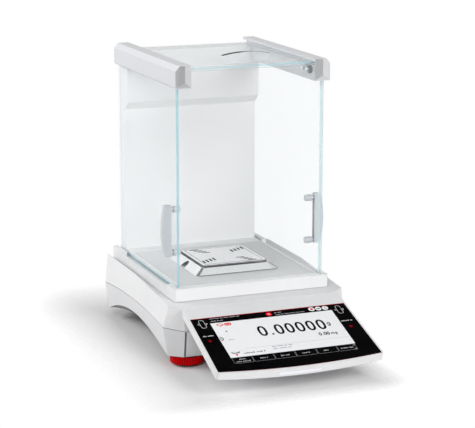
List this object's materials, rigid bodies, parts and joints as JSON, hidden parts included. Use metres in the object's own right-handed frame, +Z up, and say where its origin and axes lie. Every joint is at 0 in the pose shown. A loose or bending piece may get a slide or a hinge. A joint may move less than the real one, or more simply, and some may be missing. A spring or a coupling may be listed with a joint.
{
  "type": "semi-micro analytical balance",
  "caption": "Laboratory balance with a sliding-door glass draught shield, a slotted square pan in a draught skirt, levelling wheels and a tilted touch terminal.",
  "frame": {"origin": "middle of the bounding box, on the bench that the feet stand on", "axes": "+X to the right as seen from the terminal, +Y from the terminal to the ports at the rear, +Z up"},
  "size_m": [0.23, 0.3932, 0.3596],
  "materials": {
    "white_shell": "satin",
    "white_rail": "satin",
    "floor_grey": "matt",
    "clear_glass": "clear, with blue-green edges",
    "grey_plastic": "satin",
    "clear_plastic": "clear",
    "polished_steel": "polished",
    "steel": "satin",
    "aluminium": "machined",
    "brass": "machined",
    "red_plastic": "satin",
    "dark_rubber": "matt",
    "screen_glass": "glossy",
    "display": "glossy",
    "light_bar": "frosted",
    "circuit_board": "satin",
    "black_plastic": "matt"
  },
  "bodies": {
    "base": {"base_screws": "steel", "calibration_motor": "black_plastic", "chassis_plate": "aluminium", "clip_screws": "steel", "coil_lever": "aluminium", "column_cover": "white_shell", "column_shell": "white_shell", "dc_jack": "black_plastic", "deck_frame": "white_shell", "display_panel": "display", "door_motors": "black_plastic", "floor_plate": "floor_grey", "foot_bushes": "brass", "front_glass": "clear_glass", "glass_clips": "clear_plastic", "left_rail": "white_rail", "left_rail_cap": "white_rail", "lower_housing": "white_shell", "magnet_pot": "steel", "main_board": "circuit_board", "pan_carrier": "steel", "port_board": "circuit_board", "port_plate": "steel", "position_sensor": "black_plastic", "rear_feet": "dark_rubber", "right_rail": "white_rail", "right_rail_cap": "white_rail", "serial_port": "black_plastic", "status_light": "light_bar", "terminal_back": "white_shell", "terminal_board": "circuit_board", "terminal_bracket": "aluminium", "terminal_cable": "black_plastic", "terminal_housing": "white_shell", "terminal_screws": "steel", "touch_glass": "screen_glass", "upper_housing": "white_shell", "usb_ports": "black_plastic", "weigh_cell_block": "aluminium", "weight_rests": "aluminium"},
    "left_door": {"left_door_glass": "clear_glass", "left_door_runner": "grey_plastic", "left_door_handle": "grey_plastic", "left_door_lugs": "grey_plastic"},
    "right_door": {"right_door_glass": "clear_glass", "right_door_runner": "grey_plastic", "right_door_handle": "grey_plastic", "right_door_lugs": "grey_plastic"},
    "top_door": {"top_door_glass": "clear_glass", "top_door_handle": "clear_plastic"},
    "pan": {"weighing_pan": "polished_steel", "pan_support": "steel"},
    "skirt": {"draft_skirt": "polished_steel"},
    "left_foot": {"left_foot_pad": "dark_rubber"},
    "left_wheel": {"left_foot_wheel": "red_plastic"},
    "right_foot": {"right_foot_pad": "dark_rubber"},
    "right_wheel": {"right_foot_wheel": "red_plastic"},
    "lifter": {"weight_lifter": "aluminium", "calibration_weights": "polished_steel"},
    "screw": {"lifter_screw": "brass"}
  },
  "joints": [
    {"name": "left_door_slide", "type": "slide", "parent": "base", "child": "left_door", "axis": [0, 1, 0], "range_m": [0, 0.13]},
    {"name": "right_door_slide", "type": "slide", "parent": "base", "child": "right_door", "axis": [0, 1, 0], "range_m": [0, 0.13]},
    {"name": "top_door_slide", "type": "slide", "parent": "base", "child": "top_door", "axis": [0, 1, 0], "range_m": [0, 0.13]},
    {"name": "pan_lift", "type": "slide", "parent": "base", "child": "pan", "axis": [0, 0, 1], "range_m": [0, 0.12]},
    {"name": "skirt_lift", "type": "slide", "parent": "base", "child": "skirt", "axis": [0, 0, 1], "range_m": [0, 0.12]},
    {"name": "left_foot_height", "type": "slide", "parent": "base", "child": "left_foot", "axis": [0, 0, -1], "range_m": [0, 0.005]},
    {"name": "left_foot_turn", "type": "hinge", "parent": "left_foot", "child": "left_wheel", "pos_m": [-0.085, -0.047, 0.006], "axis": [0, 0, 1], "range_deg": [0, 1440]},
    {"name": "right_foot_height", "type": "slide", "parent": "base", "child": "right_foot", "axis": [0, 0, -1], "range_m": [0, 0.005]},
    {"name": "right_foot_turn", "type": "hinge", "parent": "right_foot", "child": "right_wheel", "pos_m": [0.085, -0.047, 0.006], "axis": [0, 0, 1], "range_deg": [0, 1440]},
    {"name": "weight_lowering", "type": "slide", "parent": "base", "child": "lifter", "axis": [0, 0, -1], "range_m": [0, 0.003]},
    {"name": "lifter_screw_turn", "type": "hinge", "parent": "base", "child": "screw", "pos_m": [0.07, 0.0546, 0.05], "axis": [0, 0, 1], "range_deg": [0, 2160]}
  ],
  "couplings": [
    {"joint": "left_foot_turn", "follows": "left_foot_height", "rad_per_m": 5026.5},
    {"joint": "right_foot_turn", "follows": "right_foot_height", "rad_per_m": 5026.5},
    {"joint": "lifter_screw_turn", "follows": "weight_lowering", "rad_per_m": 12566}
  ]
}
